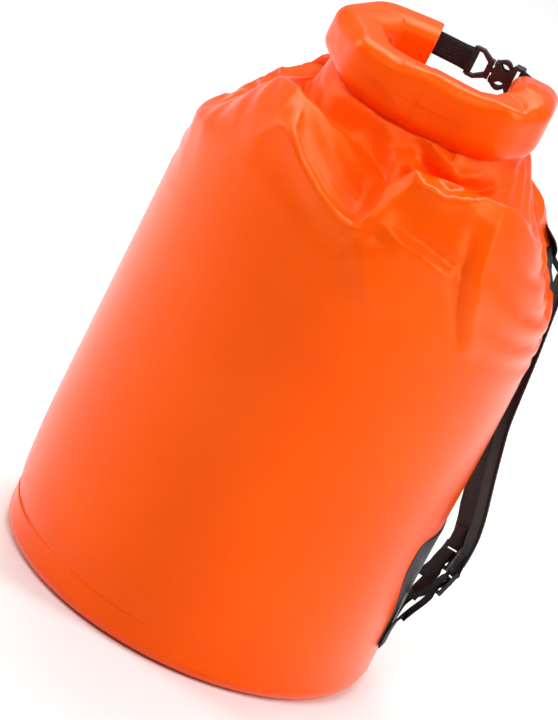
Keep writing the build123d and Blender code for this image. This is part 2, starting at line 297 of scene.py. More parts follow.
def ring_line(offset):
    """The roll's centre line moved outwards, from left end to right, and how far along its seam is."""
    centre_y = ROLL_FRONT_Y + ROLL_BEND
    reach = ROLL_BEND + offset
    left = [(ROLL_LEFT_X + reach * math.cos(a), centre_y + reach * math.sin(a))
            for a in np.linspace(math.pi / 2, 1.5 * math.pi, 40)]
    right_reach = ROLL_RIGHT_BEND + offset
    right_y = ROLL_FRONT_Y + ROLL_RIGHT_BEND
    right = [(ROLL_RIGHT_X + right_reach * math.cos(a), right_y + right_reach * math.sin(a))
             for a in np.linspace(-math.pi / 2, 0, 24)]
    start = [(ROLL_LEFT_END_X, BUCKLE_Y + offset)]
    end = [(ROLL_RIGHT_X + right_reach, ROLL_RIGHT_END_Y)]
    line = np.array(start + left + [(SEAM_X, ROLL_FRONT_Y - offset)] + right + end)
    return line, lengths(line)[len(start + left)]


def on_ring(offset, share):
    """Points on the ring at share -1 for its left end, 0 at the seam and 1 at its right end."""
    line, seam = ring_line(offset)
    total = lengths(line)[-1]
    return resample(line, np.where(share < 0, seam * (1 + share), seam + (total - seam) * share))


# ---- cloth ----


def settle(flat, target, rest, faces, hold, pressure, last=34, settled_by=20):
    """Cloth pulled from its flat shape towards a target shape, as the grid of points where it settles.

    All three shapes are grids of points. rest gives the cloth's cut size, hold how firmly each
    vertex is held on the target, last the frames it runs and settled_by the frame the pull ends."""
    mesh = bpy.data.meshes.new("cloth")
    mesh.from_pydata(flat.reshape(-1, 3).tolist(), [], faces)
    cloth = put("cloth", mesh)
    cloth.shape_key_add(name="Basis")
    pulled = cloth.shape_key_add(name="pulled")
    pulled.data.foreach_set("co", target.reshape(-1).astype(np.float32))
    pulled.value = 0
    pulled.keyframe_insert("value", frame=1)
    pulled.value = 1
    pulled.keyframe_insert("value", frame=settled_by)
    cut = cloth.shape_key_add(name="cut", from_mix=False)
    cut.data.foreach_set("co", rest.reshape(-1).astype(np.float32))
    cut.value = 0
    group = cloth.vertex_groups.new(name="hold")
    for index, weight in enumerate(hold.ravel()):
        group.add([index], float(weight), "REPLACE")
    modifier = cloth.modifiers.new("cloth", "CLOTH")
    fabric = modifier.settings
    fabric.quality = 6
    fabric.mass = 0.3
    fabric.tension_stiffness = 40
    fabric.compression_stiffness = 40
    fabric.shear_stiffness = 8
    fabric.bending_stiffness = 100
    fabric.bending_damping = 0.5
    fabric.air_damping = 2
    fabric.vertex_group_mass = "hold"
    fabric.pin_stiffness = 3
    fabric.rest_shape_key = cut
    fabric.use_pressure = True
    fabric.uniform_pressure_force = pressure
    fabric.effector_weights.gravity = 0
    modifier.collision_settings.use_collision = False
    modifier.point_cache.frame_start = 1
    modifier.point_cache.frame_end = last
    for moment in range(1, last + 1):
        SCENE.frame_set(moment)
    settled = cloth.evaluated_get(bpy.context.evaluated_depsgraph_get())
    points = np.zeros(target.size, np.float32)
    settled.to_mesh().vertices.foreach_get("co", points)
    settled.to_mesh_clear()
    bpy.data.objects.remove(cloth)
    bpy.data.meshes.remove(mesh)
    SCENE.frame_set(1)
    return points.reshape(target.shape).astype(float)


# ---- the bag's wall ----

COLUMNS = 320
WALL_BOTTOM = BODY_LOW.z
WALL_LENGTH = 0.559
# how far apart its rows are, below and above the height where the gathers start
PLAIN_ROW = 0.006
GATHERED_ROW = 0.00325
GATHERED_FROM = 0.24
# the top edge of the wall is hidden in the roll, at this height and this far from its centre line
LIP_Z = ROLL_LOW.z + 0.004
LIP_HALF = 0.006
SEAM_AZIMUTH = -4.5
# the wall starts to bend this far below where it leaves the cylinder
BENDS_BELOW = 0.040

# How the wall is gathered under the roll. Azimuth from the front towards +X, the height where
# the wall leaves the cylinder, then three knots: share of the way in to the roll, and height.
GATHERS = np.array([
    (-90, .378, .15, .396, .32, .414, .60, .440), (-58, .394, .14, .428, .34, .454, .74, .434),
    (-43, .402, .12, .446, .38, .466, .78, .430), (-32, .398, .08, .436, .46, .460, .80, .434),
    (-20, .388, .05, .418, .55, .452, .82, .436), (-10, .380, .03, .404, .55, .436, .80, .436),
    (-4, .378, .03, .400, .50, .425, .75, .430), (1, .388, .12, .430, .34, .444, .70, .418),
    (6, .400, .20, .454, .34, .466, .70, .412), (14, .405, .18, .456, .34, .468, .72, .412),
    (24, .405, .16, .458, .32, .468, .74, .414), (42, .396, .14, .448, .28, .462, .74, .420),
    (62, .366, .10, .402, .30, .430, .66, .430), (90, .346, .14, .366, .35, .390, .66, .430),
    (108, .354, .13, .378, .33, .402, .66, .438), (130, .375, .12, .402, .30, .424, .65, .448),
    (155, .370, .12, .396, .30, .420, .65, .450), (180, .362, .12, .390, .30, .416, .65, .450),
    (225, .360, .12, .390, .30, .415, .65, .446), (270, .378, .15, .396, .32, .414, .60, .440)])


def wall_grid():
    """The wall as an open cylinder, and as gathered under the roll, with its heights and azimuths."""
    azimuth = np.linspace(-90, 270, COLUMNS, endpoint=False)
    turn = np.radians(azimuth - 90)
    circle = RADIUS * np.stack([np.cos(turn), np.sin(turn)], 1)
    to_seam = np.where(azimuth < SEAM_AZIMUTH, 90 + SEAM_AZIMUTH, 90 - SEAM_AZIMUTH)
    front_share = np.clip((azimuth - SEAM_AZIMUTH) / to_seam, -1, 1)
    back_share = 1 - 2 * (azimuth - 90) / 180
    lip = np.where((azimuth <= 90)[:, None], on_ring(LIP_HALF, front_share), on_ring(-LIP_HALF, back_share))
    gather = [np.interp(azimuth, GATHERS[:, 0], GATHERS[:, k]) for k in range(1, 8)]
    heights = np.concatenate([np.arange(WALL_BOTTOM, GATHERED_FROM, PLAIN_ROW),
                              np.arange(GATHERED_FROM, WALL_BOTTOM + WALL_LENGTH, GATHERED_ROW)])
    heights = heights[:len(heights) // 2 * 2 - 1]
    straight = np.zeros((len(heights), COLUMNS, 3))
    straight[..., :2] = circle
    straight[..., 2] = heights[:, None]
    gathered = straight.copy()
    for j in range(COLUMNS):
        leaves = gather[0][j]
        knots = [(*circle[j], leaves - BENDS_BELOW), (*circle[j], leaves)]
        for share, height in zip(gather[1::2], gather[2::2]):
            knots.append((*(circle[j] * (1 - share[j]) + lip[j] * share[j]), height[j]))
        knots.append((*lip[j], LIP_Z))
        line = smooth_line(knots, 240, 0.008)
        above = heights > knots[0][2]
        spread = (heights[above] - knots[0][2]) / (heights[-1] - knots[0][2])
        gathered[above, j] = resample(line, spread * lengths(line)[-1])
    return heights, azimuth, straight, gathered


def cut_size(gathered, turn):
    """The cloth's own size: columns a bit longer than their path, rings between gathered and full girth."""
    longer = 1.01
    gathered_share, full_share = 0.65, 0.35
    least_rise = 0.3
    hop = np.linalg.norm(np.diff(gathered, axis=0), axis=2) * longer
    ring = np.linalg.norm(np.roll(gathered, -1, 1) - gathered, axis=2).sum(1)
    girth = gathered_share * ring + full_share * 2 * math.pi * RADIUS
    radius = girth / (2 * math.pi)
    rise = np.sqrt(np.maximum(hop ** 2 - np.diff(radius)[:, None] ** 2, (least_rise * hop) ** 2))
    cut = np.zeros_like(gathered)
    cut[..., 0] = radius[:, None] * np.cos(turn)
    cut[..., 1] = radius[:, None] * np.sin(turn)
    cut[1:, :, 2] = np.cumsum(rise, 0)
    cut[..., 2] += WALL_BOTTOM
    return cut


def bell(x, width):
    """1 at x = 0, fading to nothing over about this width."""
    return np.exp(-(x / width) ** 2)


def finer(grid):
    """A grid with one more row and column between each two. Its columns close into a ring."""
    wide = np.stack([grid, (grid + np.roll(grid, -1, 1)) / 2], 2).reshape(len(grid), -1, 3)
    tall = np.empty((2 * len(wide) - 1, *wide.shape[1:]))
    tall[::2] = wide
    tall[1::2] = (wide[1:] + wide[:-1]) / 2
    return tall


# The photo looks down by this much. Its upward direction, and the one towards the camera:
TILT = math.radians(22)
SEEN_UP = np.array([0, math.sin(TILT), math.cos(TILT)])
SEEN_TOWARDS = np.array([0, -math.cos(TILT), math.sin(TILT)])
# a fold's crest is rounded over this many millimetres
CREST = 0.7
# folds are made on the wall and roll in front of this
FOLDS_IN_FRONT_OF = 0.02


def fold(points, line, left, right):
    """Raises a fold along a line of (across, up, lift) in millimetres, as the photo looks at it.

    It is sharp on the line and fades over the left and right widths, in millimetres."""
    line = np.array(line, float)
    seen = np.stack([points[..., 0], points @ SEEN_UP], -1) * 1000
    nearest = np.full(seen.shape[:-1], np.inf)
    side = np.zeros(seen.shape[:-1])
    lift = np.zeros(seen.shape[:-1])
    for a, b in zip(line[:-1], line[1:]):
        step = b[:2] - a[:2]
        share = np.clip(((seen - a[:2]) @ step) / (step @ step), 0, 1)
        gap = seen - (a[:2] + share[..., None] * step)
        distance = np.hypot(gap[..., 0], gap[..., 1])
        closer = distance < nearest
        nearest = np.where(closer, distance, nearest)
        side = np.where(closer, step[0] * gap[..., 1] - step[1] * gap[..., 0], side)
        lift = np.where(closer, a[2] + share * (b[2] - a[2]), lift)
    width = np.where(side > 0, left, right)
    height = lift * np.exp(-(np.sqrt(nearest ** 2 + CREST ** 2) - CREST) / width)
    height = np.where(points[..., 1] < FOLDS_IN_FRONT_OF, height, 0)
    return points + SEEN_TOWARDS * height[..., None] / 1000


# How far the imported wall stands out, between which heights, and over how much of it that fades
SWELL = 0.0036
SWELL_FROM, SWELL_TO, SWELL_FADE = 0.03, 0.41, 0.09
# how far the wall turns in at the base on the left, below which height, and over how much of it
TURN_IN = 0.006
TURN_FROM, TURN_FADE = 0.05, 0.034


def fuller(points, heights, azimuth):
    """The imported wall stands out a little, except behind the patches, and turns in at the base."""
    rise = np.clip((heights - SWELL_FROM) / SWELL_FADE, 0, 1)
    fall = np.clip((SWELL_TO - heights) / SWELL_FADE, 0, 1)
    swell = SWELL * np.sin(rise * math.pi / 2) * np.sin(fall * math.pi / 2)
    low_patch = bell(azimuth[None] - 90, 30) * bell(heights[:, None] - 0.09, 0.10)
    high_patch = bell(azimuth[None] - 125, 32) * bell(heights[:, None] - 0.37, 0.06)
    swell = swell[:, None] * (1 - np.clip(low_patch + high_patch, 0, 1))
    left_corner = 0.5 - 0.5 * np.sin(np.radians(azimuth))
    turned_in = TURN_IN * left_corner[None] * np.clip((TURN_FROM - heights[:, None]) / TURN_FADE, 0, 1) ** 2
    outward = np.stack([np.cos(np.radians(azimuth - 90)), np.sin(np.radians(azimuth - 90)), 0 * azimuth], -1)
    return points + outward[None] * (swell - turned_in)[..., None]


# The folds of the wall stand this many times as high as their table says
FOLD_HEIGHT = 1.35

# Each fold is a line of (across, up, lift) in millimetres, as fold takes it, and its widths to the
# left and right of the line
WALL_FOLDS = [
    # the V under the seam: its two flanks, a second ridge beside the left one, the crease at its foot
    ([(-91, 401, 0), (-88, 381, 5), (-87, 366, 7), (-70, 348, 8),
      (-44, 331, 9), (-24, 323, 8), (-12, 321, 5)], 4, 12),
    ([(-82, 370, 0), (-64, 354, 3), (-39, 339, 4), (-18, 330, 0)], 3, 3),
    ([(-12, 321, 5), (-5, 336, 8), (-1, 356, 8), (-4, 380, 6), (-7, 394, 0)], 5, 9),
    ([(-14, 325, -2), (-15, 345, -6), (-24, 370, -7), (-30, 392, -4)], 12, 26),
    # nested rims under the right half of the roll, and the flap between them
    ([(3, 398, 0), (8, 384, 6), (22, 374, 9), (43, 372, 9), (64, 380, 9), (78, 392, 6), (86, 404, 0)], 3, 6),
    ([(10, 396, 0), (24, 384, -8), (44, 381, -9), (63, 389, -8), (76, 402, 0)], 5, 5),
    ([(14, 404, 0), (20, 397, 4), (32, 392, 6), (46, 393, 6), (58, 399, 4), (62, 410, 0)], 3, 4),
    ([(6, 408, 2), (18, 405, 6), (31, 400, 7), (39, 397, 5), (37, 406, 4), (35, 414, 0)], 3, 3),
    # the long fold down the right of the wall, its sharp valley and the loop that ends it
    ([(85, 408, 2), (90, 376, 5), (94, 343, 7), (103, 306, 7), (112, 280, 4), (118, 268, 0)], 8, 16),
    ([(70, 372, 0), (77, 344, -4), (81, 325, -6), (90, 299, -6), (100, 280, -5), (110, 271, 0)], 5, 4),
    # the finger fold that meets it, and the soft swell below the V
    ([(18, 342, 0), (15, 330, 3), (28, 325, 5), (49, 322, 5), (68, 318, 4), (78, 304, 0)], 4, 9),
    ([(26, 337, 0), (49, 332, -4), (70, 328, -5), (79, 325, 0)], 4, 3),
    ([(-4, 318, 1), (0, 306, 3), (18, 281, 4), (46, 260, 0)], 26, 7),
    # the left shoulder
    ([(-108, 416, 2), (-124, 386, 3), (-152, 334, 0)], 10, 10),
    ([(-124, 334, 0), (-113, 348, 4), (-96, 368, 4), (-90, 388, 0)], 12, 12),
]


# How firmly the cloth is held: everywhere, at its sides, and below a height where it comes loose
WALL_HOLD = 0.38
SIDE_HOLD = 0.55
HELD_BELOW, COMES_LOOSE = 0.36, 0.12
WALL_PRESSURE = 3.0
# the share of the settling that is kept at the back, and how much less is at the front
KEPT_SHARE, LESS_IN_FRONT = 0.60, 0.35
SMOOTHINGS = 3


def settling(heights, azimuth, straight, gathered):
    """How far cloth settles away from the gathered shape, worked out on every second row and column."""
    coarse = (slice(None, None, 2), slice(None, None, 2))
    high, around = heights[::2], azimuth[::2]
    hold = np.full((len(high), len(around)), WALL_HOLD)
    hold = np.maximum(hold, (np.clip((HELD_BELOW - high) / COMES_LOOSE, 0, 1) ** 2)[:, None])
    sides = np.maximum(bell(around - 90, 18), np.maximum(bell(around + 90, 18), bell(around - 270, 18)))
    hold = np.maximum(hold, SIDE_HOLD * sides[None])
    hold[-3:] = 1
    cut = cut_size(gathered[coarse], np.radians(around - 90))
    faces = grid_faces(len(high), len(around), closed=True)
    settled = settle(straight[coarse], gathered[coarse], cut, faces, hold, WALL_PRESSURE)
    kept = KEPT_SHARE - LESS_IN_FRONT * bell(around - 10, 110)
    moved = settled - gathered[coarse]
    for _ in range(SMOOTHINGS):
        moved = (np.roll(moved, 1, 1) + 2 * moved + np.roll(moved, -1, 1)) / 4
    return finer(moved * kept[None, :, None])


def wall():
    """The wall of the bag from the base weld up into the roll, with its seams' and gathers' folds."""
    heights, azimuth, straight, gathered = wall_grid()
    points = gathered
    points = gathered + settling(heights, azimuth, straight, gathered)
    points = fuller(points, heights, azimuth)
    for line, left, right in WALL_FOLDS:
        points = fold(points, [(x, h, lift * FOLD_HEIGHT) for x, h, lift in line], left, right)
    faces = grid_faces(len(heights), COLUMNS, closed=True)
    turn = np.radians(azimuth)
    uvs = np.stack(np.broadcast_arrays(turn[None] * RADIUS, heights[:, None]), -1).reshape(-1, 2)
    return make("tarpaulin_tube", points.reshape(-1, 3), faces, "bag", "tarpaulin", uvs, ["body_tube"])


tube = wall()


def base():
    """Round bottom: flat disc, rounded corner and the flange welded inside the wall."""
    radius = BASE_HIGH.x
    corner = 0.014
    thick = 0.001
    sag_most = 0.0004
    outside = [(r, 0.0) for r in np.linspace(0.004, radius - corner, 24)]
    outside += [(radius - corner + corner * math.sin(a), corner - corner * math.cos(a))
                for a in np.linspace(0.12, math.pi / 2, 10)]
    outside += [(radius, z) for z in np.linspace(corner + 0.003, BASE_HIGH.z, 6)]
    inside = [(r - thick if z > corner else r * (1 - thick / radius), max(z, thick)) for r, z in outside]
    profile = outside + inside[::-1]
    count = 128
    points, uvs = [], []
    for r, z in profile:
        for k in range(count):
            a = 2 * math.pi * k / count
            sag = sag_most * math.sin(3 * a + 1) * bell(r - 0.12, 0.05) if z <= thick else 0
            points.append((r * math.cos(a), r * math.sin(a), z + max(0, sag)))
            uvs.append((r * math.cos(a), r * math.sin(a) + z))
    faces = closed_tube(len(profile), count)
    return make("welded_base", points, faces, "bag", "tarpaulin", uvs, ["base_disc"])


base()


# ---- the roll ----

ROLL_HALF_DEEP = ROLL_THICK / 2 - 0.001
ROLL_HALF_HIGH = (ROLL_HIGH.z - ROLL_LOW.z) / 2 - 0.001
ROLL_CORNER = 0.014
CLOTH_THICK = 0.0011
ROLL_ROWS = 176
ROLL_COLUMNS = 72
# how far the facets of the bends stand out from their arcs
LEFT_FACETS, RIGHT_FACETS = 1.02, 1.04
# the roll's cloth is this much longer than its centre line, so that it buckles
ROLL_SLACK = 1.22
ROLL_HOLD, ROLL_END_HOLD = 0.5, 0.8
ROLL_PRESSURE = 1.5
# the lap at the seam: how proud it is, and how far it takes to fade
LAP, LAP_FADE = 0.0008, 0.030


def racetrack(half_deep, half_high, radius, count):
    """A rounded rectangle as points from the middle of its outer side, going up."""
    corners = [(1, 1), (-1, 1), (-1, -1), (1, -1)]
    line = [(half_deep, 0)]
    for k, (side, up) in enumerate(corners):
        for a in np.linspace(0, math.pi / 2, 8) + k * math.pi / 2:
            line.append((side * (half_deep - radius) + radius * math.cos(a),
                         up * (half_high - radius) + radius * math.sin(a)))
    line.append((half_deep, 0))
    line = np.array(line)
    return resample(line, np.linspace(0, lengths(line)[-1], count, endpoint=False))


def roll_path(count):
    """The roll's centre line, its bends creased into facets, as count places.

    Returns how far along each is, the places, their outward directions, where the seam is and the length."""
    centre_y = ROLL_FRONT_Y + ROLL_BEND
    reach = ROLL_BEND * LEFT_FACETS
    line = [(ROLL_LEFT_END_X, BUCKLE_Y), (ROLL_LEFT_X + 0.004, BUCKLE_Y)]
    for degrees in (125, 180, 235):
        a = math.radians(degrees)
        line.append((ROLL_LEFT_X + reach * math.cos(a), centre_y + reach * math.sin(a)))
    line += [(ROLL_LEFT_X - 0.002, ROLL_FRONT_Y), (ROLL_RIGHT_X, ROLL_FRONT_Y)]
    for degrees in (-58, -20):
        a = math.radians(degrees)
        line.append((ROLL_RIGHT_X + ROLL_RIGHT_BEND * RIGHT_FACETS * math.cos(a),
                     ROLL_FRONT_Y + ROLL_RIGHT_BEND * (1 + RIGHT_FACETS * math.sin(a))))
    line += [(ROLL_RIGHT_X + ROLL_RIGHT_BEND, ROLL_FRONT_Y + ROLL_RIGHT_BEND + 0.004),
             (ROLL_RIGHT_X + ROLL_RIGHT_BEND, ROLL_RIGHT_END_Y)]
    flat = np.array([(x, y, 0) for x, y in line])
    places = smooth_line(flat, 400, 0.011)
    total = lengths(places)[-1]
    where = np.linspace(0, total, count)
    centre = resample(places, where)
    near = 0.002
    ahead = resample(places, np.minimum(where + near, total))
    behind = resample(places, np.maximum(where - near, 0))
    heading = ahead - behind
    heading /= np.linalg.norm(heading, axis=1)[:, None]
    outward = np.stack([heading[:, 1], -heading[:, 0], np.zeros(len(where))], 1)
    seam = where[np.argmin(np.abs(centre[:, 0] - SEAM_X) + np.where(centre[:, 1] > 0, 1, 0))]
    return where, centre, outward, seam, total


# The roll along its length, from -1 at the left end past 0 at the seam to 1 at the right end: half
# its height, how far its middle is raised, and how far the inner top edge is rolled down
ROLL_SHAPE = np.array([
    (-1, .0165, -.004, 0), (-.75, .0175, -.005, 0), (-.5, .0195, -.007, 0), (-.32, .0215, -.0085, .002),
    (-.15, .0245, -.0085, .006), (0, .0265, -.008, .008), (.28, .0265, -.008, .008),
    (.45, .0265, -.005, .004), (.62, .0258, -.001, 0), (.72, .0250, -.001, 0), (1, .0195, -.006, 0)])


def roll_shape(where, seam, total):
    """The three measures of ROLL_SHAPE at these distances along the roll."""
    share = np.where(where < seam, where / seam - 1, (where - seam) / (total - seam))
    return [np.interp(share, ROLL_SHAPE[:, 0], ROLL_SHAPE[:, k]) for k in (1, 2, 3)]


# as WALL_FOLDS, but not made higher
ROLL_FOLDS = [
    # where the front band tucks under at the left bend, and its crest on to the seam
    ([(-70, 478, 0), (-55, 465, -4), (-43, 458, -5), (-33, 450, -1)], 4, 4),
    ([(-36, 449, 0), (-22, 452, 3), (-5, 455, 3), (12, 455, 1)], 3, 7),
    # the facets of the left bend
    ([(-92, 474, 0), (-81, 471, 3), (-72, 464, 4), (-69, 450, 3), (-74, 430, 0)], 8, 8),
    ([(-96, 462, 0), (-88, 452, 3), (-84, 440, 2), (-84, 430, 0)], 5, 8),
    # the long highlight across the left half of the band
    ([(-62, 442, 0), (-48, 434, 3), (-29, 425, 2), (-13, 420, 0)], 9, 7),
    # the crest and the sharp tuck at the right bend
    ([(14, 455, 0), (36, 458, 4), (55, 457, 5), (67, 459, 4), (74, 468, 3), (79, 480, 0)], 3, 9),
    ([(40, 466, 0), (55, 467, -5), (66, 463, -7), (70, 458, 0)], 4, 3),
    ([(19, 417, 0), (40, 423, 2), (60, 427, 2), (72, 434, 0)], 7, 7),
]


def roll():
    """The rolled mouth: a flattened tube bent round, its seam lapped, buckled on the inside of its bends.

    Returns the piece and its flat size."""
    section = racetrack(ROLL_HALF_DEEP, ROLL_HALF_HIGH, ROLL_CORNER, ROLL_COLUMNS)
    where, centre, outward, seam, total = roll_path(ROLL_ROWS)
    up = np.array([0, 0, 1.0])
    half_high, raised, tucked = [measure[:, None] for measure in roll_shape(where, seam, total)]
    height = section[None, :, 1] * half_high / ROLL_HALF_HIGH + raised + ROLL_Z
    inner = np.clip(0.5 - section[None, :, 0] / (2 * ROLL_HALF_DEEP), 0, 1)
    height = height - tucked * inner * np.clip(section[None, :, 1] / ROLL_HALF_HIGH, 0, 1)
    target = centre[:, None] + outward[:, None] * section[None, :, :1] + up * height[..., None]
    straight = np.zeros_like(target)
    straight[..., 0] = (where * ROLL_SLACK)[:, None]
    straight[..., 1] = section[None, :, 0]
    straight[..., 2] = section[None, :, 1]
    faces = grid_faces(ROLL_ROWS, ROLL_COLUMNS, closed=True)
    points = target
    hold = np.full((ROLL_ROWS, ROLL_COLUMNS), ROLL_HOLD)
    hold[:3] = ROLL_END_HOLD
    hold[-3:] = ROLL_END_HOLD
    points = settle(target, target, straight, faces, hold, ROLL_PRESSURE, last=22, settled_by=2)
    offset = where - seam
    lap = np.where(offset > 0, LAP * np.exp(-offset / LAP_FADE), 0)
    for line, left, right in ROLL_FOLDS:
        points = fold(points, line, left, right)
    away = points - (centre[:, None] + up * ROLL_Z)
    away /= np.linalg.norm(away, axis=2)[..., None]
    points = points + away * lap[:, None, None]
    girth = lengths(np.vstack([section, section[:1]]))
    uvs = np.stack(np.broadcast_arrays(where[:, None], girth[None, :-1]), -1).reshape(-1, 2)
    piece = make("rolled_mouth", points.reshape(-1, 3), faces, "bag", "tarpaulin", uvs, ["rolled_collar"])
    solid = piece.modifiers.new("thickness", "SOLIDIFY")
    solid.thickness = CLOTH_THICK
    solid.offset = -1
    rounded = piece.modifiers.new("smooth", "SUBSURF")
    rounded.levels = rounded.render_levels = 1
    return piece, (total, girth[-1])


rolled, roll_flat = roll()


COIL_TURNS = 3
COIL_STEPS = 50
# how far inside the roll the wound cloth starts, how much further its inner end is, and its depth
COIL_INSET, COIL_WOUND = 0.0026, 0.0125
COIL_DEEP = 0.018


def coil(name, start, into, outward, half_high):
    """The wound layers seen in an open end of the roll."""
    turns = np.linspace(0, 1, COIL_TURNS * COIL_STEPS)
    up = Vector((0, 0, 1))
    points = []
    for k, t in enumerate(turns):
        inset = COIL_INSET + COIL_WOUND * t
        ring = racetrack(ROLL_HALF_DEEP - inset, half_high - inset,
                         0.9 * (min(ROLL_HALF_DEEP, half_high) - inset), COIL_STEPS)
        a, b = ring[k % COIL_STEPS]
        middle = start + outward * a + up * b
        inward = (-(outward * a) - up * b).normalized() * CLOTH_THICK
        depth = into * (COIL_DEEP - 0.0015 * math.sin(9 * t))
        lip = into * (0.0012 + 0.002 * t + 0.0005 * math.sin(40 * t))
        points += [middle + lip, middle + depth, middle + depth + inward, middle + lip + inward]
    uvs = [(0.001 * (p - start).length, p.z) for p in points]
    return make(name, points, closed_tube(len(turns), 4), "bag", "tarpaulin", uvs)


LEFT_END = Vector((ROLL_LEFT_END_X, BUCKLE_Y, ROLL_Z + ROLL_SHAPE[0, 2]))
RIGHT_END = Vector((ROLL_RIGHT_X + ROLL_RIGHT_BEND, ROLL_RIGHT_END_Y, ROLL_Z + ROLL_SHAPE[-1, 2]))
coil("roll_layers_left", LEFT_END, Vector((-1, 0, 0)), Vector((0, 1, 0)), ROLL_SHAPE[0, 1])
coil("roll_layers_right", RIGHT_END, Vector((0, -1, 0)), Vector((1, 0, 0)), ROLL_SHAPE[-1, 1])


# ---- webbing, straps and stitching ----


# how square the webbing's rounded edges are, and the least share of its thickness there
EDGE_POWER, EDGE_LEAST = 14, 0.08


def band(name, line, across, width, thick, body, slot="webbing", replaces=(), taper=None, columns=12):
    """A closed flat band along a line of points. across is its width direction, one for all or one each."""
    line = np.asarray(line, float)
    across = np.broadcast_to(np.asarray(across, float), line.shape)
    across = across / np.linalg.norm(across, axis=1)[:, None]
    heading = np.gradient(line, axis=0)
    heading /= np.linalg.norm(heading, axis=1)[:, None]
    face = np.cross(across, heading)
    face /= np.linalg.norm(face, axis=1)[:, None]
    wide = np.full(len(line), width) if taper is None else np.asarray(taper)
    side = np.linspace(-1, 1, columns)
    rounded = np.sqrt(np.clip(1 - np.abs(side) ** EDGE_POWER, EDGE_LEAST, 1))
    section = [(s, r) for s, r in zip(side, rounded)] + [(s, -r) for s, r in zip(side[::-1], rounded[::-1])]
    points, uvs = [], []
    along = lengths(line)
    for k in range(len(line)):
        for s, r in section:
            points.append(line[k] + across[k] * s * wide[k] / 2 + face[k] * r * thick / 2)
            uvs.append((s * wide[k] / 2, along[k]))
    return make(name, points, closed_tube(len(line), len(section)), body, slot, uvs, replaces)


# the stiff lips' width, distance from the roll's middle and thickness, and how far from its ends they stop
STIFFENER_HIGH = 0.028
STIFFENER_APART = 0.0035
STIFFENER_THICK = 0.0012
SHORT_LEFT, SHORT_RIGHT = 0.02, 0.052


def stiffeners():
    """The two stiff lips of the mouth, wound up in the middle of the roll and out of sight."""
    for name, side in {"outer": 1, "inner": -1}.items():
        line, seam = ring_line(side * STIFFENER_APART)
        total = lengths(line)[-1]
        where = np.linspace(SHORT_LEFT, total - SHORT_RIGHT, 120)
        raised = roll_shape(where, seam, total)[1]
        places = [(*place, ROLL_Z + up) for place, up in zip(resample(line, where), raised)]
        band(f"mouth_stiffener_strip_{name}", places, (0, 0, 1), STIFFENER_HIGH, STIFFENER_THICK, "bag",
             "stiffener", [f"mouth_stiffener_{name}"])


stiffeners()


# a stitch's length, the gap to the next, how proud it is, and half its thread's width and height
STITCH, STITCH_GAP, STITCH_PROUD = 0.0032, 0.0013, 0.0004
THREAD_WIDE, THREAD_HIGH = 0.0004, 0.00028
# places along a stitch, and how thick its thread is there
STITCH_ALONG = np.array([0, .12, .5, .88, 1])
STITCH_SIZES = (0.15, 0.8, 1, 0.8, 0.15)


def stitches(name, line, normals, body):
    """A row of lock stitches lying along a line on a surface."""
    line, normals = np.asarray(line, float), np.asarray(normals, float)
    along = lengths(line)
    sides = 6
    tube_faces = closed_tube(len(STITCH_SIZES), sides)
    points, faces = [], []
    for start in np.arange(STITCH_GAP, along[-1] - STITCH, STITCH + STITCH_GAP):
        places = resample(line, start + STITCH * STITCH_ALONG)
        up = np.stack([np.interp(start + STITCH / 2, along, normals[:, c]) for c in range(3)])
        up /= np.linalg.norm(up)
        heading = places[-1] - places[0]
        side = np.cross(up, heading)
        side /= np.linalg.norm(side)
        first = len(points)
        for place, size in zip(places, STITCH_SIZES):
            for a in np.linspace(0, 2 * math.pi, sides, endpoint=False):
                points.append(place + up * (STITCH_PROUD * (size - 0.4) + THREAD_HIGH * size * math.sin(a))
                              + side * THREAD_WIDE * size * math.cos(a))
        faces += [tuple(first + c for c in face) for face in tube_faces]
    return make(name, points, faces, body, "webbing", material="thread")


def arc(centre, radius, start, end, count):
    """Points on an arc in the XY plane, in degrees."""
    return [(centre[0] + radius * math.cos(a), centre[1] + radius * math.sin(a))
            for a in np.radians(np.linspace(start, end, count))]


# Webbing round a bar: the loop's radius, half the gap between its layers' middles, its thickness, and
# the rounding of its corners
LOOP = 0.0030
LAYER = 0.0008
THICK = 0.0014
CORNERS = 0.0012
# the buckle's bars are this far inside its ends, and the closure webbing goes this far into the roll
BAR_INSIDE = 0.0018
INTO_ROLL = 0.012
MALE_BAR_X = MALE_LOW.x + BAR_INSIDE
FEMALE_BAR_X = FEMALE_HIGH.x - BAR_INSIDE


def closure_webbing():
    """Two folded tabs that carry the buckle halves."""
    bar = (MALE_BAR_X, BUCKLE_Y)
    before_bar = bar[0] - 0.008
    male = [(ROLL_LEFT_END_X - INTO_ROLL, BUCKLE_Y - LAYER), (before_bar, BUCKLE_Y - LAYER)]
    male += arc(bar, LOOP, 220, 500, 22)
    male += [(before_bar, BUCKLE_Y + LAYER), (ROLL_LEFT_END_X - INTO_ROLL, BUCKLE_Y + LAYER)]
    line = smooth_line([(x, y, ROLL_Z) for x, y in male], 120, CORNERS)
    piece = band("closure_webbing_male", line, (0, 0, 1), WEBBING, THICK, None, replaces=["closure_tab_male"])
    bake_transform(piece)
    corner_x = ROLL_RIGHT_X + ROLL_RIGHT_BEND
    bend = corner_x - FEMALE_BAR_X
    centre = (FEMALE_BAR_X, BUCKLE_Y - bend)
    female = [(corner_x + LAYER, ROLL_RIGHT_END_Y - INTO_ROLL)] + arc(centre, bend + LAYER, 0, 66, 12)
    female += arc((FEMALE_BAR_X, BUCKLE_Y), LOOP, 70, 290, 20)
    female += arc(centre, bend - LAYER, 66, 0, 12) + [(corner_x - LAYER, ROLL_RIGHT_END_Y - INTO_ROLL)]
    line = smooth_line([(x, y, ROLL_Z) for x, y in female], 140, CORNERS)
    band("closure_webbing_female", line, (0, 0, 1), WEBBING, THICK, "bag", replaces=["closure_tab_female"])


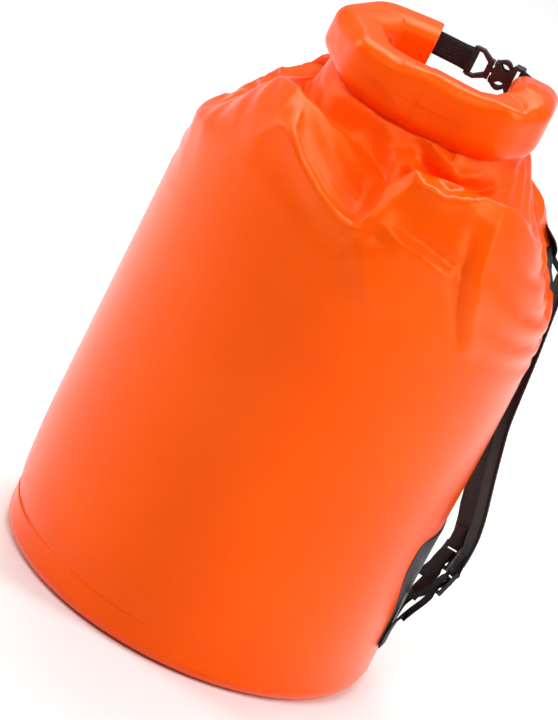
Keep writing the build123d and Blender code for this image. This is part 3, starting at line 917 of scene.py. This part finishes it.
closure_webbing()


def around_bag(radius, azimuth, z):
    """A point at this radius and azimuth, which is 0 at +X and grows towards +Y."""
    a = math.radians(azimuth)
    return Vector((radius * math.cos(a), radius * math.sin(a), z))


bpy.context.view_layer.update()
SKIN = BVHTree.FromObject(tube, bpy.context.evaluated_depsgraph_get())


def on_skin(azimuth, sideways, z, lift):
    """The wall's point seen along an azimuth, sideways from its middle at a height, lifted off it."""
    outward = around_bag(1, azimuth, 0)
    beside = around_bag(1, azimuth + 90, 0)
    start = outward * 0.4 + beside * sideways + Vector((0, 0, z))
    hit, normal, _, _ = SKIN.ray_cast(start, -outward)
    if normal.dot(outward) < 0:
        normal = -normal
    return hit + normal * lift, normal


def rounded_outline(corners, radius, step=0.004):
    """A closed outline with its corners rounded, as evenly spaced points."""
    corners = [Vector(c) for c in corners]
    line = []
    for k, corner in enumerate(corners):
        before = (corners[k - 1] - corner).normalized()
        after = (corners[(k + 1) % len(corners)] - corner).normalized()
        for t in np.linspace(0, 1, 9):
            a, b = corner + before * radius * (1 - t), corner + after * radius * t
            line.append(tuple(a.lerp(b, t)))
    line = np.array(line + line[:1])
    count = int(lengths(line)[-1] / step)
    return resample(line, np.linspace(0, lengths(line)[-1], count, endpoint=False))


PATCH_CORNER = 0.012
# how far inside a patch's edge, and how far off the wall: its edge, its sunk stitch line and its face
PATCH_RIM = [(0.0, -0.0004), (0.0, 0.0007), (0.0006, 0.0012), (0.0020, 0.0013), (0.0040, 0.0012),
             (0.0050, 0.0009), (0.0060, 0.0012), (0.0080, 0.0013)]
PATCH_STITCHED, PATCH_STITCH_LIFT = 0.005, 0.0012
PATCH_RINGS = 9


def patch(name, corners, azimuth, node):
    """A patch glued and sewn to the wall: domed edge, slightly sunk stitch line."""
    outline = rounded_outline(corners, PATCH_CORNER)
    middle = outline.mean(0)
    face_inset, face_lift = PATCH_RIM[-1]
    points, uvs = [], []
    reach = np.linalg.norm(outline - middle, axis=1)
    rings = [(inset, lift, 1) for inset, lift in PATCH_RIM]
    rings += [(face_inset, face_lift, 1 - k / PATCH_RINGS) for k in range(1, PATCH_RINGS)]
    for inset, lift, share in rings:
        for p, r in zip(outline, reach):
            q = middle + (p - middle) * (1 - inset / r) * share
            points.append(on_skin(azimuth, q[0], q[1], lift)[0])
            uvs.append(tuple(q))
    count = len(outline)
    rows = len(rings)
    faces = grid_faces(rows, count, closed=True)
    points.append(on_skin(azimuth, middle[0], middle[1], face_lift)[0])
    uvs.append(tuple(middle))
    last = (rows - 1) * count
    faces += [(last + k, last + (k + 1) % count, len(points) - 1) for k in range(count)]
    make(name, points, faces, "bag", "patch", uvs, [node])
    path = [middle + (p - middle) * (1 - PATCH_STITCHED / r) for p, r in zip(outline, reach)]
    path.append(path[0])
    seated = [on_skin(azimuth, q[0], q[1], PATCH_STITCH_LIFT) for q in path]
    stitches(f"{name}_stitching", [p for p, n in seated], [n for p, n in seated], "bag")


# Both outlines are (sideways, height) on the wall, about an azimuth that is 0 at +X
patch("lower_strap_patch", [(-.058, .156), (.058, .156), (.058, .124), (.034, .082), (.029, .043),
                            (-.029, .043), (-.034, .082), (-.058, .124)], 0, "lower_patch")
patch("upper_strap_patch", [(-.052, .386), (.052, .386), (.052, .344), (-.052, .344)], 35, "upper_patch")

JOINTS = {joint["name"]: joint for joint in frame["joints"]}
LOWER_AZIMUTH = {"left": -8.2, "right": 8.2}
UPPER_AZIMUTH = {"left": 26.0, "right": 44.0}
# Lines of the strap in its own plane: distance up from its foot along the swing axis, and out from it
WEBBING_LINE = [(.003, .0042), (.007, .0060), (.014, .0098), (.022, .0145), (.029, .0178)]
STRAP_LINE = [(.062, .0298), (.075, .031), (.100, .0295), (.140, .0215),
              (.180, .0145), (.240, .0125), (.306, .0085)]
LOCK_BAR_AT = (.054, .028)
LOCK_SLOPE = 20
# the webbing through the ladder lock, as distance down the lock from its upper bar and height over it
LOCK_THREAD = [(.0205, -.0030), (.0165, -.0026), (.0125, .0010), (.0098, .0026), (.0066, .0024), (.0052, 0),
               (.0066, -.0030), (.012, -.0042), (.022, -.0050), (.030, -.0075), (.036, -.0115)]


# The shoulder strap: its size, its tapered lower end and its two rows of stitching
STRAP_WIDE, STRAP_THICK = 0.038, 0.003
STRAP_END_WIDE, TAPER_POINTS = 0.025, 12
STRAP_SEAM, STRAP_SEAM_LIFT = 0.0155, 0.0014
LOCK_LOOP_LONG = 0.016
LOWER_WEBBING_THICK = 0.0013
# The anchors sewn to the wall. Lower: heights over the strap's foot, and radii. Upper: radii and
# heights where it is free of the wall, then heights along the wall.
ANCHOR_THICK = 0.0016
LOWER_ANCHOR = [(-.024, .1624), (-.012, .1624), (0, .1636), (.009, .1675)]
UPPER_ANCHOR_WIDE = 0.024
UPPER_ANCHOR_FREE = [(0.1655, 0.366), (0.1636, 0.372)]
UPPER_ANCHOR_SEATED = (0.379, 0.385, 0.391, 0.396)
UPPER_ANCHOR_LIFT = 0.0030


def shoulder_strap(side):
    """One shoulder strap with its lower webbing, ladder-lock loop, stitching and two anchors."""
    swing, tilt = JOINTS[f"strap_swing_{side}"], JOINTS[f"ladder_lock_tilt_{side}"]
    foot, chord = Vector(swing["pos_m"]), Vector(swing["axis"]).normalized()
    across = -Vector(tilt["axis"]).normalized()
    rise = across.cross(chord)
    body = f"strap_{side}"

    def place(x, y):
        return foot + chord * x + rise * y

    low, high = LOWER_AZIMUTH[side], UPPER_AZIMUTH[side]
    line = smooth_line([place(*p) for p in STRAP_LINE], 120, 0.02)
    taper = np.interp(np.arange(len(line)), [0, TAPER_POINTS], [STRAP_END_WIDE, STRAP_WIDE])
    band(f"shoulder_webbing_{side}", line, across, STRAP_WIDE, STRAP_THICK, body,
         replaces=[f"shoulder_strap_{side}"], columns=22, taper=taper)
    loop_end = LOCK_BAR_AT[0] + LOCK_LOOP_LONG
    loop = [(loop_end, LOCK_BAR_AT[1] + 0.0033)]
    loop += arc(LOCK_BAR_AT, LOOP, 55, 330, 20) + [(loop_end, LOCK_BAR_AT[1] + 0.0008)]
    loop_line = smooth_line([place(*p) for p in loop], 70, CORNERS)
    band(f"lock_loop_{side}", loop_line, across, WEBBING, THICK, body)
    for edge in (-1, 1):
        seam = line[TAPER_POINTS:-3] + np.array(across) * edge * STRAP_SEAM
        heading = np.gradient(seam, axis=0)
        normal = np.cross(np.broadcast_to(np.array(across), seam.shape), heading)
        normal /= np.linalg.norm(normal, axis=1)[:, None]
        for face in (-1, 1):
            stitches(f"strap_stitching_{side}_{edge + 1}_{face + 1}", seam + normal * face * STRAP_SEAM_LIFT,
                     normal * face, body)
    slope = math.radians(LOCK_SLOPE)
    threaded = [(LOCK_BAR_AT[0] - d * math.cos(slope) - h * math.sin(slope),
                 LOCK_BAR_AT[1] - d * math.sin(slope) + h * math.cos(slope)) for d, h in LOCK_THREAD]
    lower = smooth_line([place(*p) for p in WEBBING_LINE + threaded], 150, 0.0016)
    piece = band(f"lower_strap_webbing_{side}", lower, across, WEBBING, LOWER_WEBBING_THICK, None,
                 replaces=[f"lower_webbing_{side}"])
    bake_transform(piece)
    anchors = {"lower": [around_bag(r, low, foot.z + z) for z, r in LOWER_ANCHOR],
               "upper": [around_bag(r, high, z) for r, z in UPPER_ANCHOR_FREE]}
    anchors["upper"] += [on_skin(high, 0, z, UPPER_ANCHOR_LIFT)[0] for z in UPPER_ANCHOR_SEATED]
    for end, azimuth, wide in (("lower", low, WEBBING), ("upper", high, UPPER_ANCHOR_WIDE)):
        line = smooth_line(anchors[end], 40, 0.004)
        band(f"{end}_anchor_webbing_{side}", line, around_bag(1, azimuth + 90, 0), wide, ANCHOR_THICK, "bag",
             replaces=[f"{end}_anchor_{side}"])


for side in ("left", "right"):
    shoulder_strap(side)

# ---- carried-over CAD pieces ----

for name in ("buckle_male_frame", "buckle_prong_upper", "buckle_prong_lower", "buckle_female_housing",
             "ladder_lock_left", "ladder_lock_right"):
    for material_slot in frame["nodes"][name].material_slots:
        material_slot.material = MATERIALS["buckle_plastic"]

# ---- floor, lights and camera ----


def floor():
    """A sheet of white studio paper, just under the base."""
    m = Nodes("studio_paper", 0.9)
    m.to("Base Color", m.ramp(m.noise(3.0), [(0.3, (0.90, 0.90, 0.90)), (0.7, (0.93, 0.93, 0.93))]))
    mesh = bpy.data.meshes.new("floor")
    reach = 14.0
    corners = [(-reach, -reach, 0), (reach, -reach, 0), (reach, reach, 0), (-reach, reach, 0)]
    mesh.from_pydata(corners, [], [(0, 1, 2, 3)])
    mesh.materials.append(m.material)
    plane = put("floor", mesh)
    plane.location.z = -0.0002


LIGHTS_AIM = Vector((0, 0, 0.28))


def softbox(name, place, size, power):
    """A rectangular lamp at a place, turned to the bag."""
    lamp = bpy.data.lights.new(name, "AREA")
    lamp.shape = "RECTANGLE"
    lamp.size, lamp.size_y = size
    lamp.energy = power
    box = put(name, lamp)
    box.location = place
    box.rotation_euler = (LIGHTS_AIM - Vector(place)).to_track_quat("-Z", "Y").to_euler()


# the camera's roll, its lens and sensor in millimetres, its aim, and the height that fills the frame
LEAN = math.radians(26.8)
LENS = 500
SENSOR = 36
LOOKS_AT = Vector((-0.0156, 0, 0.2172))
FRAME_HIGH = 0.574


def camera():
    """A long lens looking down on the bag, turned so that the bag leans to the right in the frame."""
    up = Vector(SEEN_UP)
    back = Vector(SEEN_TOWARDS)
    right = Vector((1, 0, 0)) * math.cos(LEAN) + up * math.sin(LEAN)
    data = bpy.data.cameras.new("camera")
    data.sensor_fit = "VERTICAL"
    data.sensor_width = data.sensor_height = SENSOR
    data.lens = LENS
    view = put("camera", data)
    turned = Matrix((right, back.cross(right), back)).transposed().to_4x4()
    turned.translation = LOOKS_AT + back * (FRAME_HIGH * LENS / SENSOR)
    view.matrix_world = turned
    SCENE.camera = view


floor()
softbox("left_softbox", (-1.9, 0.2, 1.3), (0.8, 1.7), 21)
softbox("right_softbox", (1.8, -0.5, 1.3), (0.6, 1.6), 26)
softbox("front_softbox", (-0.3, -1.7, 2.5), (1.3, 0.4), 30)
softbox("top_softbox", (0.1, 1.1, 2.2), (1.8, 1.2), 40)
camera()
world = bpy.data.worlds.new("studio")
world.use_nodes = True
background = world.node_tree.nodes["Background"].inputs
background["Color"].default_value = (1, 1, 1, 1)
background["Strength"].default_value = 0.27
SCENE.world = world
SCENE.view_settings.view_transform = "Standard"
